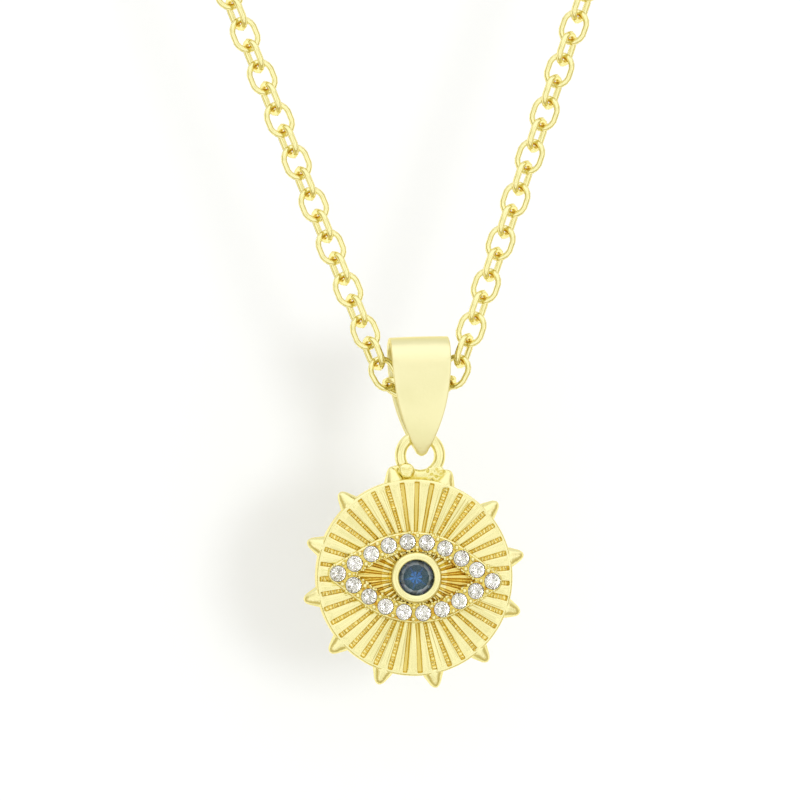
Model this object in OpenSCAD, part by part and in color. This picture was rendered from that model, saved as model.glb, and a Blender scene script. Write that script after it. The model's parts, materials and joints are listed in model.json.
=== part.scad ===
// Eye necklace: a fine cable chain, closed by a clasp at the nape, runs through a folded
// bail. A round charm with a sunburst face hangs from the bail by a soldered ring. Its face
// carries an almond band of eighteen small clear stones round one blue stone in a bezel.
// Millimetres. +Z is up, the charm faces -Y, and the origin is the nape, where the loop hangs.

/* [Charm] */
// Diameter of the disc, without its spikes
disc_d = 13.8; // [13.5:0.1:14.5]
// Thickness of the disc
disc_t = 1.5; // [1.3:0.1:1.8]
// Radius of the disc's rounded edge
edge_r = 0.2; // [0.15:0.05:0.3]
// Radius to the tips of the twelve spikes
spike_tip_r = 7.9; // [7.6:0.1:8.2]
// Radius of a spike's foot
spike_foot_r = 0.7; // [0.5:0.02:0.72]
// Depth of the radial grooves
groove_depth = 0.22; // [0.1:0.02:0.3]
// Turn of the radial grooves to the left, seen from the front
groove_turn = 1.6; // [0:0.1:4.6]
// Turn of the spikes to the right
spike_turn = 0.5; // [0:0.1:2]
// Turn of the whole charm as it hangs, its top to the right
charm_turn = 3; // [0:0.5:5]

/* [Eye] */
// Height of the stones' centreline over the middle of the eye
eye_half_h = 2.5; // [2.4:0.05:2.6]
// Radius of that centreline over the middle of the eye
eye_arc_r = 5.46; // [5.3:0.02:5.6]
// Slope of its straight ends
eye_slope = 33.4; // [32:0.2:35]
// Width of the raised band that the stones are set in
band_w = 1.44; // [1.4:0.02:1.5]
// Height of the band over the disc's face
band_h = 0.35; // [0.25:0.05:0.45]
// Diameter of a small stone
pave_d = 1.1; // [1:0.02:1.14]
// Outer diameter of the bezel round the middle stone
bezel_d = 3.6; // [3.5:0.05:3.7]
// Height of the bezel over the disc's face
bezel_h = 1.2; // [1.1:0.05:1.4]
// Diameter of the middle stone
centre_stone_d = 2.5; // [2.4:0.02:2.56]

/* [Ring and bail] */
// Diameter of the ring's wire
ring_wire = 0.8; // [0.7:0.05:0.9]
// Diameter of the ring, along the middle of its wire
ring_d = 2.76; // [2.6:0.02:2.9]
// From the top of the ring's wire, at its middle, down to the middle of the disc
charm_drop = 9.9; // [9.85:0.01:10]
// Height of the bail over the middle of the lowest link
bail_top = 4.13; // [4:0.05:4.3]
// Whole height of the bail
bail_h = 8.33; // [8.2:0.05:8.5]
// Width of the bail at its arch
bail_w = 4.18; // [4:0.02:4.3]
// Depth of the bail, from its front leaf to its back leaf
bail_depth = 3.8; // [3.7:0.05:3.9]
// Thickness of the strip that the bail is folded from
bail_wall = 0.35; // [0.3:0.05:0.4]
// From the middle of the lowest link down to the middle of the ring's wire
ring_below = 2.79; // [2.7:0.01:2.85]

/* [Chain] */
// Distance from the middle of one link to the middle of the next
link_pitch = 1.6; // [1.55:0.01:1.65]
// Diameter of the wire that a link is bent from
link_wire = 0.45; // [0.4:0.01:0.48]
// Outer width of a link
link_w = 2.2; // [2.15:0.01:2.3]
// Play between the wires of two links
link_play = 0.12; // [0.1:0.01:0.16]
// Number of links to the left of the lowest link
left_links = 121; // [111:2:121]
// Number of links to the right of the lowest link
right_links = 120; // [110:2:120]
// Turn of the links about the chain, with their inner sides away from the viewer
link_roll = 25; // [15:1:35]
// Share of that turn which the left strand lacks and the right strand has in addition
roll_skew = 6; // [0:1:10]

/* [Loop] */
// Half of the angle between the two strands
strand_angle = 20.5; // [18:0.5:24]
// Radius of the bend that the chain makes inside the bail
bend_r = 2.91; // [2.85:0.01:3.1]
// Lean of the hung loop and of the bail, their tops to the left
loop_lean = 1.6; // [0:0.1:3]
// Height over the lowest link at which the chain starts to turn back round the neck
chest_h = 78; // [60:2:90]
// Radius of that turn
shoulder_r = 40; // [30:2:50]
// Slope of the chain beside the neck, from level
neck_slope = 25; // [15:1:35]

/* [Clasp] */
// Length that the clasp takes of the loop
clasp_span = 11; // [10:0.5:12]
// Length that the ring at the clasp's free end takes of the loop
end_ring_span = 2.6; // [2.4:0.1:2.8]
// Wire of that ring and of the clasp's small eye
end_wire = 0.6; // [0.5:0.05:0.65]
// Wire of the clasp's hook, which is drawn closed
hook_wire = 0.8; // [0.7:0.05:0.9]
// Radius of the hook, along the middle of its wire
hook_r = 1.9; // [1.8:0.05:2]

/* [Hidden] */
$fn = 64;
gold = [0.93, 0.83, 0.42];
clear = [0.93, 0.94, 0.96];
blue = [0.07, 0.12, 0.35];

spike_count = 12;
groove_count = 39;
stone_count = 18;
groove_w_inner = 0.16;
groove_w_outer = 0.30;
groove_end_r = 6.47;
spike_nose_r = 0.2;
spike_start_r = 6.45;
spike_foot_end_r = 6.78;
overcut = 0.4;

face_z = disc_t / 2;
band_z = face_z + band_h;
field_drop = 0.1;
eye_base_z = face_z - groove_depth - 0.15;
stone_gap = 0.025;
bead_r = 0.16;
bead_offset = 0.4;
pave_girdle_z = band_z - 0.1;
bezel_wall = 0.6;
bezel_top_z = face_z + bezel_h;
centre_girdle_z = bezel_top_z - 0.42;
crown_share = 0.15;
pavilion_share = 0.43;
girdle_share = 0.03;
table_share = 0.56;

// A degree in radians, and the way back
function rad(a) = a * PI / 180;
function deg(a) = a * 180 / PI;
function unit(v) = v / norm(v);
function arc(middle, r, from, to, steps) =
    [for (i = [0 : steps]) let (a = from + (to - from) * i / steps) middle + r * [cos(a), sin(a)]];

// The path of the chain, laid flat: a small bend at the bottom, two straight strands, and a
// large arc at the top. The path length s is 0 at the lowest point, and grows to the right.
loop_half = ((left_links + right_links + 1) * link_pitch + clasp_span + end_ring_span) / 2;
bend_s = bend_r * rad(90 - strand_angle);
top_r = (loop_half - bend_s + bend_r / tan(strand_angle)) / (1 / tan(strand_angle) + rad(90 + strand_angle));
strand_s = (top_r - bend_r) / tan(strand_angle);
top_v = (top_r - bend_r) / sin(strand_angle) + bend_r;
function flat_right(s) =
    s < bend_s ? let (a = deg(s / bend_r)) [bend_r * sin(a), bend_r * (1 - cos(a))]
    : s < bend_s + strand_s ? [bend_r * cos(strand_angle) + (s - bend_s) * sin(strand_angle),
                               bend_r * (1 - sin(strand_angle)) + (s - bend_s) * cos(strand_angle)]
    : let (a = deg((s - bend_s - strand_s) / top_r) - strand_angle)
      [top_r * cos(a), top_v + top_r * sin(a)];
function flat_point(s) = s < 0 ? let (p = flat_right(-s)) [-p.x, p.y] : flat_right(s);

// The flat loop is folded back: upright on the chest, then turned to the neck's slope
full_turn = 90 - neck_slope;
turn_v = shoulder_r * rad(full_turn);
function turn_at(v) = v < chest_h ? 0 : min(full_turn, deg((v - chest_h) / shoulder_r));
function folded(p) =
    let (t = turn_at(p.y), rest = max(0, p.y - chest_h - turn_v))
    [p.x, shoulder_r * (1 - cos(t)) + rest * sin(t),
     min(p.y, chest_h) + shoulder_r * sin(t) + rest * cos(t)];
function loop_point(s) = folded(flat_point(s));
nape = loop_point(loop_half);

// The hung loop leans about the nape, and these are the two hinge lines below it
function leaned(p) = [p.x * cos(loop_lean) - p.z * sin(loop_lean), p.y,
                      p.x * sin(loop_lean) + p.z * cos(loop_lean)];
chain_axis = leaned(-nape);
ring_axis = leaned(-nape - [0, 0, ring_below]);
module hung() rotate([0, -loop_lean, 0]) translate(-nape) children();

// Stands a child between two points of the loop: its X runs from one to the other, and its
// Y lies in the loop's surface, pointing inwards, before it is rolled
module between(s0, s1, roll) {
    a = loop_point(s0);
    b = loop_point(s1);
    t = turn_at((flat_point(s0).y + flat_point(s1).y) / 2);
    along = unit(b - a);
    inwards = unit(cross([0, -cos(t), sin(t)], along));
    outwards = cross(along, inwards);
    w = cos(roll) * inwards + sin(roll) * outwards;
    d = cross(along, w);
    m = (a + b) / 2;
    multmatrix([[along.x, w.x, d.x, m.x], [along.y, w.y, d.y, m.y], [along.z, w.z, d.z, m.z]])
        children();
}

// Chain
link_l = link_pitch + 2 * link_wire + link_play;
link_bend_r = (link_w - link_wire) / 2;
link_run = link_l - link_w;
roll_links = 6;
function roll_at(k) = -link_roll - roll_skew * max(-1, min(1, k / roll_links)) + 90 * (k % 2);
module link() {
    for (end = [0, 180])
        rotate([0, 0, end]) translate([link_run / 2, 0, 0]) rotate([0, 0, -90])
            rotate_extrude(angle = 180) translate([link_bend_r, 0]) circle(d = link_wire);
    for (side = [-1, 1])
        translate([0, side * link_bend_r, 0]) rotate([0, 90, 0])
            cylinder(d = link_wire, h = link_run, center = true);
}
module links(first, last) {
    color(gold) hung()
        for (k = [first : last])
            between((k - 0.5) * link_pitch, (k + 0.5) * link_pitch, roll_at(k)) link();
}
module chain_left() links(-left_links, 0);
module chain_right() links(1, right_links);

// Clasp and the ring that it closes on
clasp_s = -(left_links + 0.5) * link_pitch;
clasp_end_s = clasp_s - clasp_span;
clasp_chord = norm(loop_point(clasp_end_s) - loop_point(clasp_s));
eye_r = 0.95;
clasp_t = 1.3;
module torus(r, wire) rotate_extrude() translate([r, 0]) circle(d = wire);
module clasp() {
    eye_x = -clasp_chord / 2 + eye_r - (link_play + end_wire) / 2;
    hook_x = clasp_chord / 2 - hook_r + (link_play + hook_wire) / 2;
    neck_x = eye_x + eye_r;
    back_x = hook_x - hook_r;
    color(gold) hung() between(clasp_s, clasp_end_s, 0) {
        translate([eye_x, 0, 0]) torus(eye_r, end_wire);
        translate([hook_x, 0, 0]) torus(hook_r, hook_wire);
        linear_extrude(clasp_t, center = true)
            polygon([[neck_x - 0.1, -0.4], [neck_x + 1.2, -1.3], [back_x - 0.6, -1.5],
                     [back_x + 0.1, -0.9], [back_x + 0.1, 0.9], [back_x - 0.6, 1.5],
                     [neck_x + 1.2, 1.3], [neck_x - 0.1, 0.4]]);
    }
}
module end_ring() {
    color(gold) hung() between(clasp_end_s, clasp_end_s - end_ring_span, link_roll + roll_skew - 90)
        torus((end_ring_span + link_play + end_wire) / 2, end_wire);
}

// Bail: a strip folded over into an arch, whose two leaves close in a rounded tip. Its side
// view is an arch over two long arcs, and its front view narrows from the arch to the tip.
arch_z = bail_top - bail_depth / 2;
leaf_z = 1.6;
leaf_r = 10.52;
nose_r = 0.5;
tip_z = bail_top - bail_h;
narrowing = 0.87;
narrowing_power = 2.6;
outline_steps = 20;
relief_r = 0.58;
function bail_half_w(t) = bail_w / 2 * (1 - narrowing * pow(t, narrowing_power));
module bail_side(inset) {
    half = bail_depth / 2 - inset;
    translate([0, arch_z]) circle(half);
    translate([-half, leaf_z]) square([2 * half, arch_z - leaf_z]);
    intersection() {
        translate([half + inset - leaf_r, leaf_z]) circle(leaf_r - inset, $fn = 128);
        translate([leaf_r - half - inset, leaf_z]) circle(leaf_r - inset, $fn = 128);
        translate([-half, tip_z - 1]) square([2 * half, leaf_z - tip_z + 1]);
    }
}
module bail_front() {
    last = (bail_h - nose_r) / bail_h;
    right = [for (i = [0 : outline_steps]) let (t = i / outline_steps * last)
                [bail_half_w(t), bail_top - t * bail_h]];
    polygon(concat(right, arc([0, tip_z + nose_r], nose_r, -5, -175, 12),
                   [for (i = [outline_steps : -1 : 0]) [-right[i].x, right[i].y]]));
}
module bail() {
    color(gold) hung() difference() {
        intersection() {
            rotate([90, 0, 90]) linear_extrude(bail_w + 1, center = true) bail_side(0);
            rotate([90, 0, 0]) linear_extrude(bail_depth + 1, center = true) bail_front();
        }
        rotate([90, 0, 90]) linear_extrude(bail_w + 2, center = true)
            intersection() {
                bail_side(bail_wall);
                translate([-bail_depth, -ring_below - relief_r]) square([2 * bail_depth, bail_h]);
            }
        translate([0, 0, -ring_below - ring_d / 2]) rotate([90, 0, 0]) torus(ring_d / 2, 2 * relief_r);
    }
}

// The charm is drawn with its middle at 0, its face towards +Z and its ring towards +Y
module on_charm() {
    translate(ring_axis) rotate([0, charm_turn, 0]) rotate([90, 0, 0])
        translate([0, -charm_drop, 0]) children();
}

// The eye's centreline: an arc over the middle and straight ends, the same in all quarters
eye_arc_s = eye_arc_r * rad(eye_slope);
eye_arc_y = eye_half_h - eye_arc_r;
eye_end = [eye_arc_r * sin(eye_slope), eye_arc_y + eye_arc_r * cos(eye_slope)];
eye_run = eye_arc_s + eye_end.y / sin(eye_slope);
eye_tip_x = eye_end.x + eye_end.y / tan(eye_slope);
stone_pitch = 4 * eye_run / stone_count;
function eye_quarter(s) =
    s < eye_arc_s ? let (a = deg(s / eye_arc_r)) [eye_arc_r * sin(a), eye_arc_y + eye_arc_r * cos(a)]
    : eye_end + (s - eye_arc_s) * [cos(eye_slope), -sin(eye_slope)];
function eye_point(s) =
    s < 0 ? eye_point(s + 4 * eye_run)
    : s <= eye_run ? eye_quarter(s)
    : s <= 2 * eye_run ? let (p = eye_quarter(2 * eye_run - s)) [p.x, -p.y]
    : s <= 3 * eye_run ? -eye_quarter(s - 2 * eye_run)
    : let (p = eye_quarter(4 * eye_run - s)) [-p.x, p.y];
// Outline at a distance w outside the centreline, from the right end to the left one
corner_step = 18;
function half_outline(w) = concat(
    w > 0 ? [for (b = [0 : corner_step : 90 - eye_slope]) [eye_tip_x + w * cos(b), w * sin(b)]]
          : [[eye_tip_x + w / sin(eye_slope), 0]],
    [for (i = [6 : -1 : -6]) let (a = eye_slope * i / 6)
        [(eye_arc_r + w) * sin(a), eye_arc_y + (eye_arc_r + w) * cos(a)]],
    w > 0 ? [for (b = [corner_step * floor((90 - eye_slope) / corner_step) : -corner_step : 1])
                [-eye_tip_x - w * cos(b), w * sin(b)]] : []);
module eye_outline(w) {
    upper = half_outline(w);
    polygon(concat(upper, [for (p = upper) -p]));
}
module disc_blank() {
    edge = arc([disc_d / 2 - edge_r, disc_t / 2 - edge_r], edge_r, 0, 90, 4);
    rotate_extrude()
        polygon(concat([[0, -disc_t / 2]], [for (i = [4 : -1 : 0]) [edge[i].x, -edge[i].y]],
                       edge, [[0, disc_t / 2]]));
}
module spike() {
    nose = spike_tip_r - spike_nose_r - spike_start_r;
    foot = spike_foot_end_r - spike_start_r;
    translate([0, spike_start_r, 0]) rotate([-90, 0, 0]) rotate_extrude()
        polygon(concat([[0, 0], [spike_foot_r, 0], [spike_foot_r, foot]],
                       arc([0, nose], spike_nose_r, 25, 90, 5)));
}
module groove() {
    start_r = bezel_d / 2 - 0.3;
    polygon(concat([[-groove_w_inner / 2, start_r], [groove_w_inner / 2, start_r]],
                   arc([0, groove_end_r], groove_w_outer / 2, 0, 180, 6)));
}
module sunburst_cut() {
    translate([0, 0, face_z - groove_depth]) linear_extrude(groove_depth + overcut)
        for (i = [0 : groove_count - 1]) rotate(i * 360 / groove_count + groove_turn) groove();
    translate([0, 0, face_z - field_drop]) linear_extrude(field_drop + overcut)
        eye_outline(-band_w / 2 - 0.01);
}
module bezel() {
    lip = arc([(bezel_d - bezel_wall) / 2, bezel_top_z - bezel_wall / 2], bezel_wall / 2, 0, 180, 8);
    rotate_extrude()
        polygon(concat([[0, eye_base_z], [bezel_d / 2, eye_base_z]], lip,
                       [[bezel_d / 2 - bezel_wall, centre_girdle_z], [0, centre_girdle_z]]));
}
// A seat for a stone: a round pocket down to its girdle, and a cone below that
module seat(d, girdle_z, pocket_h) {
    r = d / 2 + stone_gap;
    floor_z = girdle_z - d * (pavilion_share + girdle_share / 2) - stone_gap * 2;
    step_z = girdle_z - d * girdle_share / 2 - stone_gap;
    rotate_extrude() polygon([[0, floor_z], [stone_gap, floor_z], [r, step_z],
                              [r, girdle_z + pocket_h], [0, girdle_z + pocket_h]]);
}
module beads() {
    for (j = [0 : stone_count - 1]) {
        here = eye_point(j * stone_pitch);
        way = unit(eye_point(j * stone_pitch + 0.01) - eye_point(j * stone_pitch - 0.01));
        beside_corner = abs(here.y) < stone_pitch / 2;
        for (side = beside_corner ? [1] : [-1, 1])
            translate([here.x - side * bead_offset * way.y, here.y + side * bead_offset * way.x, band_z])
                sphere(bead_r);
    }
    for (side = [-1, 1])
        translate([side * (eye_tip_x - stone_pitch / 2 - 0.12), 0, band_z]) sphere(bead_r);
}
solder_r = 0.53;
solder_at = [0.82, 7.34, 0.03];
module charm_ring() {
    translate([0, charm_drop - ring_d / 2, 0]) torus(ring_d / 2, ring_wire);
    for (side = [-1, 1])
        translate([side * solder_at.x, solder_at.y, solder_at.z]) rotate([side * 7, 0, 0])
            sphere(solder_r);
}
module charm() {
    color(gold) on_charm() {
        difference() {
            union() {
                difference() {
                    disc_blank();
                    sunburst_cut();
                }
                translate([0, 0, eye_base_z]) linear_extrude(band_z - eye_base_z)
                    difference() {
                        eye_outline(band_w / 2);
                        eye_outline(-band_w / 2);
                    }
                bezel();
            }
            seat(centre_stone_d, centre_girdle_z, 0.06);
            for (j = [0 : stone_count - 1])
                translate(eye_point((j + 0.5) * stone_pitch)) seat(pave_d, pave_girdle_z, overcut);
        }
        for (i = [0 : spike_count - 1])
            rotate(-spike_turn - 15 + i * 360 / spike_count) spike();
        beads();
        charm_ring();
    }
}

// A round brilliant: an octagonal table, a crown of 24 facets, a girdle and a pavilion of 16
module brilliant(d) {
    girdle = 16;
    table_z = d * (girdle_share / 2 + crown_share);
    rim_z = d * girdle_share / 2;
    points = concat(
        [for (i = [0 : 7]) [table_share * d / 2 * cos(45 * i), table_share * d / 2 * sin(45 * i), table_z]],
        [for (i = [0 : 15]) [d / 2 * cos(22.5 * i), d / 2 * sin(22.5 * i), rim_z]],
        [for (i = [0 : 15]) [d / 2 * cos(22.5 * i), d / 2 * sin(22.5 * i), -rim_z]],
        [[0, 0, -rim_z - d * pavilion_share]]);
    faces = concat(
        [[for (i = [7 : -1 : 0]) i]],
        [for (i = [0 : 7]) [i, (i + 1) % 8, 8 + 2 * i + 1]],
        [for (i = [0 : 7]) [i, 8 + 2 * i + 1, 8 + 2 * i]],
        [for (i = [0 : 7]) [i, 8 + 2 * i, 8 + (2 * i + 15) % girdle]],
        [for (j = [0 : 15]) [8 + j, 8 + (j + 1) % girdle, 24 + (j + 1) % girdle, 24 + j]],
        [for (j = [0 : 15]) [24 + j, 24 + (j + 1) % girdle, 40]]);
    polyhedron(points, faces);
}
module centre_stone() color(blue) on_charm() translate([0, 0, centre_girdle_z]) brilliant(centre_stone_d);
module pave_stone(number) {
    color(clear) on_charm()
        translate(concat(eye_point((number - 0.5) * stone_pitch), pave_girdle_z)) brilliant(pave_d);
}
function stone_name(number) = str("pave_stone_", number < 10 ? "0" : "", number);

charm();
bail();
centre_stone();
chain_left();
chain_right();
clasp();
end_ring();
for (i = [1 : stone_count])
    pave_stone(i);
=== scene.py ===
import json
import math
import random

import bmesh
import bpy
import numpy as np
from mathutils import Matrix, Vector, noise


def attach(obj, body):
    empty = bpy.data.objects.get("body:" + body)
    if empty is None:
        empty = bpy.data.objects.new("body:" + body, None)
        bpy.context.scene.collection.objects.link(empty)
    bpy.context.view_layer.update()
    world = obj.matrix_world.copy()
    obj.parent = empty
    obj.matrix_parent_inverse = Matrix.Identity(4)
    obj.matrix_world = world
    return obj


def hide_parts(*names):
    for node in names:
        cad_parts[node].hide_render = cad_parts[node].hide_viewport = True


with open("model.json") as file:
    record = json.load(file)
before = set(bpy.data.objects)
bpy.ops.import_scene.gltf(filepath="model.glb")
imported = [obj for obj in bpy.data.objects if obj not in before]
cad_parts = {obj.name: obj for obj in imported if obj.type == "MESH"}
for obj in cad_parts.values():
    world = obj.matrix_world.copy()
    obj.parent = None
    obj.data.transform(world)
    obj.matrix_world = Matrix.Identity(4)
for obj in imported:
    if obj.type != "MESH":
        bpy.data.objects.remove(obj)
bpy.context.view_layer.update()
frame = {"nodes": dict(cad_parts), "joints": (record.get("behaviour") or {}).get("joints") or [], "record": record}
bpy.ops.object.select_all(action="DESELECT")

# Sunburst disc
# The charm is one casting of brass, plated in pale gold. Its face is engraved with 39 radial
# grooves between softly crowned lands, and the same rays go on, lower and pleated, inside the
# eye. It is drawn in millimetres about the disc's middle, face towards +Z, and then hung.
disc_r = 6.9
disc_t = 1.5
face_z = disc_t / 2
edge_r = 0.2
groove_count = 39
groove_turn = math.radians(1.6)
groove_depth = 0.22
groove_wall = (-0.05, 0.025)
groove_half_inner = 0.09
groove_half_outer = 0.155
groove_inner_r = 1.5
groove_end_r = 6.5
groove_fade = 0.16
land_crown = 0.06
land_end = (6.3, 6.72)
field_top = -0.09
pleat_h = 0.27
pleat_side = (0.12, 0.66)

to_metres = Matrix.Scale(0.001, 4)
hinges = {joint["name"]: Vector(joint["pos_m"]) for joint in frame["joints"]}
mounts = {mount["name"]: Vector(mount["pos_m"]) for mount in frame["record"]["mounts"]}
charm_middle = mounts["charm_back"] - Vector((0, disc_t / 2000, 0))
charm_up = hinges["charm_swing"] - charm_middle
charm_drop = charm_up.length * 1000
charm_place = (Matrix.Translation(charm_middle)
               @ Matrix.Rotation(math.atan2(charm_up.x, charm_up.z), 4, "Y")
               @ Matrix.Rotation(math.radians(90), 4, "X") @ to_metres)

# The eye's centreline is an arc over the middle and straight ends, the same in all quarters
eye_arc_r = 5.46
eye_slope = math.radians(33.4)
eye_arc_y = 2.5 - eye_arc_r
eye_end = Vector((eye_arc_r * math.sin(eye_slope), eye_arc_y + eye_arc_r * math.cos(eye_slope)))
eye_arc_s = eye_arc_r * eye_slope
eye_run = eye_arc_s + eye_end.y / math.sin(eye_slope)
eye_tip_x = eye_end.x + eye_end.y / math.tan(eye_slope)
band_half = 0.7
band_lap = 0.06
under_band = -0.36


def beyond_eye(x, y):
    """How far a point of the face lies outside the eye's centreline, and less than 0 inside it."""
    x, y = abs(x), abs(y)
    if math.atan2(x, y - eye_arc_y) < eye_slope:
        return math.hypot(x, y - eye_arc_y) - eye_arc_r
    out = (x - eye_end.x) * math.sin(eye_slope) + (y - eye_end.y) * math.cos(eye_slope)
    past_tip = (x - eye_tip_x) * math.cos(eye_slope) - y * math.sin(eye_slope)
    return math.hypot(x - eye_tip_x, y) if past_tip > 0 else out


def smooth(value, low, high):
    """A soft step from 0, at and below low, to 1, at and above high."""
    t = min(max((value - low) / (high - low), 0), 1)
    return t * t * (3 - 2 * t)


# The ways in which hand finishing leaves the rays uneven: a seed and an amount for each
ray_play = {"length": (1, 0.03), "width": (2, 0.1), "pleat": (3, 0.07), "ridge": (4, 0.05),
            "lean": (5, 0.25), "tilt": (6, 0.18)}


def uneven(ray, way):
    """How far a ray departs from a plain one, in one of the ways of ray_play.

    The noise is read at places well apart, and 1.8 brings it to about -1 to 1.
    """
    seed, amount = ray_play[way]
    return amount * (1.8 * noise.noise(Vector((ray * 2.37, seed * 5.1, 0.5))))


def new_node(nodes, kind, **values):
    """A shader node with some inputs set. In their names, _ stands for a space."""
    node = nodes.new("ShaderNode" + kind)
    for name, value in values.items():
        node.inputs[name.replace("_", " ")].default_value = value
    return node


def colour_mix(nodes):
    """A node that mixes two colours."""
    mix = nodes.new("ShaderNodeMix")
    mix.data_type = "RGBA"
    return mix


def mottled_metal(name, low_shade, high_shade, cloud_scale, cloud_detail=2):
    """A metal whose colour wanders between two shades, as a soft cloud in the metal does."""
    material = bpy.data.materials.new(name)
    material.use_nodes = True
    nodes, links = material.node_tree.nodes, material.node_tree.links
    shader = nodes["Principled BSDF"]
    shader.inputs["Metallic"].default_value = 1
    place = nodes.new("ShaderNodeTexCoord")
    cloud = new_node(nodes, "TexNoise", Scale=cloud_scale, Detail=cloud_detail)
    cloud.name = "cloud"
    tint = colour_mix(nodes)
    tint.name = "tint"
    tint.inputs["A"].default_value = (*low_shade, 1)
    tint.inputs["B"].default_value = (*high_shade, 1)
    links.new(place.outputs["Object"], cloud.inputs["Vector"])
    links.new(cloud.outputs["Fac"], tint.inputs["Factor"])
    links.new(tint.outputs["Result"], shader.inputs["Base Color"])
    return material, nodes, links, shader


def gold(name, shade, roughness, grain=0.0, grain_size=0.1, deep=0.95, hollow_shade=None, hollow_shade_size=0.3):
    """Pale gold plating: a metal whose gloss wanders a little, with a fine cast grain.

    The shade sinks towards its deep share in places. Hollow shade is painted shade: patches of
    a deeper tone, set by noise, as where light is caught in rough metal. Sizes are in millimetres.
    """
    deep_shade = (shade[0] * deep, shade[1] * deep ** 1.2, shade[2] * deep ** 2)
    material, nodes, links, shader = mottled_metal(name, deep_shade, shade, 900, 3)
    shader.inputs["Specular Tint"].default_value = (1.0, 0.9, 0.55, 1)
    place = nodes["Texture Coordinate"].outputs["Object"]
    gloss = new_node(nodes, "MapRange", To_Min=roughness * 0.8, To_Max=roughness * 1.2)
    links.new(nodes["cloud"].outputs["Fac"], gloss.inputs["Value"])
    links.new(gloss.outputs["Result"], shader.inputs["Roughness"])
    if grain:
        pits = new_node(nodes, "TexNoise", Scale=1000 / grain_size, Detail=4)
        bump = new_node(nodes, "Bump", Strength=grain, Distance=grain_size / 1000)
        bump.name = "grain"
        links.new(place, pits.inputs["Vector"])
        links.new(pits.outputs["Fac"], bump.inputs["Height"])
        links.new(bump.outputs["Normal"], shader.inputs["Normal"])
    # Patches of painted shade, placed by noise
    if hollow_shade:
        patches = new_node(nodes, "TexNoise", Scale=1000 / hollow_shade_size, Detail=2)
        edge = new_node(nodes, "MapRange", From_Min=0.52, From_Max=0.62)
        mark = colour_mix(nodes)
        mark.inputs["B"].default_value = (*hollow_shade, 1)
        links.new(place, patches.inputs["Vector"])
        links.new(patches.outputs["Fac"], edge.inputs["Value"])
        links.new(edge.outputs["Result"], mark.inputs["Factor"])
        links.new(nodes["tint"].outputs["Result"], mark.inputs["A"])
        links.new(mark.outputs["Result"], shader.inputs["Base Color"])
    return material


def about_middle(nodes, links):
    """Object coordinates that are counted from the charm's middle."""
    centre = new_node(nodes, "Mapping", Location=-charm_middle)
    links.new(nodes["Texture Coordinate"].outputs["Object"], centre.inputs["Vector"])
    return centre.outputs["Vector"]


pale = (0.9, 0.84, 0.46)
cast_gold = gold("cast pale gold", pale, 0.22, grain=0.1, grain_size=0.15)
# The groove walls, the grooves' plain floors and the eye's pleats are darker gold: painted shade in the recesses
wall_shade_gold = gold("gold of the groove walls, in painted shade", (0.9, 0.78, 0.28), 0.3, grain=0.3, grain_size=0.12, deep=0.9)
pleat_shade_gold = gold("gold in the pleats, in painted shade", (0.84, 0.64, 0.15), 0.25, grain=0.5, grain_size=0.15, deep=0.85)
ridge_shade_gold = gold("gold on the pleats, in painted shade", (0.89, 0.75, 0.26), 0.25, grain=0.3, grain_size=0.15, deep=0.88)
plain_shade_gold = gold("plain gold in the grooves, in painted shade", (0.82, 0.67, 0.21), 0.3, grain=0.2, grain_size=0.2,
                  deep=0.85)

# The grooves' floors are beaded: fine rings about the charm's middle, broken up by grain,
# with a painted highlight on the beads' crests and painted shade between them and over the
# whole floor. At scale 1 a wave goes 20 radians in a metre.
bead_pitch = 0.00022
groove_shade, bead_crest_highlight = (0.8, 0.6, 0.14), (0.95, 0.87, 0.42)
beaded_shade_gold = gold("beaded gold in the grooves, in painted light and shade", groove_shade, 0.3, grain=0.5, grain_size=0.12)
nodes, links = beaded_shade_gold.node_tree.nodes, beaded_shade_gold.node_tree.links
beading = new_node(nodes, "TexWave", Scale=2 * math.pi / 20 / bead_pitch, Distortion=5, Detail=2,
                   Detail_Scale=2)
beading.wave_type = "RINGS"
beading.rings_direction = "Y"
ripple = new_node(nodes, "Bump", Strength=1, Distance=0.00005)
# The ramp paints a highlight on the beads' crests and shade between them
bead_light_and_shade = nodes.new("ShaderNodeValToRGB")
for stop, at, shade in zip(bead_light_and_shade.color_ramp.elements, (0.3, 0.85), (groove_shade, bead_crest_highlight)):
    stop.position = at
    stop.color = (*shade, 1)
links.new(about_middle(nodes, links), beading.inputs["Vector"])
links.new(beading.outputs["Fac"], ripple.inputs["Height"])
links.new(ripple.outputs["Normal"], nodes["grain"].inputs["Normal"])
links.new(beading.outputs["Fac"], bead_light_and_shade.inputs["Fac"])
links.new(bead_light_and_shade.outputs["Color"], nodes["Principled BSDF"].inputs["Base Color"])
nodes.remove(nodes["tint"])

# The lands between them are brushed along the rays
brushed_gold = gold("brushed gold on the rays", pale, 0.14, grain=0.05, grain_size=0.2, deep=0.9)
nodes, links = brushed_gold.node_tree.nodes, brushed_gold.node_tree.links
apart = nodes.new("ShaderNodeSeparateXYZ")
turn = nodes.new("ShaderNodeMath")
turn.operation = "ARCTAN2"
strokes = new_node(nodes, "TexNoise", Scale=45, Detail=1.5)
strokes.noise_dimensions = "1D"
stroke_marks = new_node(nodes, "Bump", Strength=1, Distance=0.00006)
links.new(about_middle(nodes, links), apart.inputs["Vector"])
links.new(apart.outputs["X"], turn.inputs[0])
links.new(apart.outputs["Z"], turn.inputs[1])
links.new(turn.outputs["Value"], strokes.inputs["W"])
links.new(strokes.outputs["Fac"], stroke_marks.inputs["Height"])
links.new(stroke_marks.outputs["Normal"], nodes["grain"].inputs["Normal"])


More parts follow.
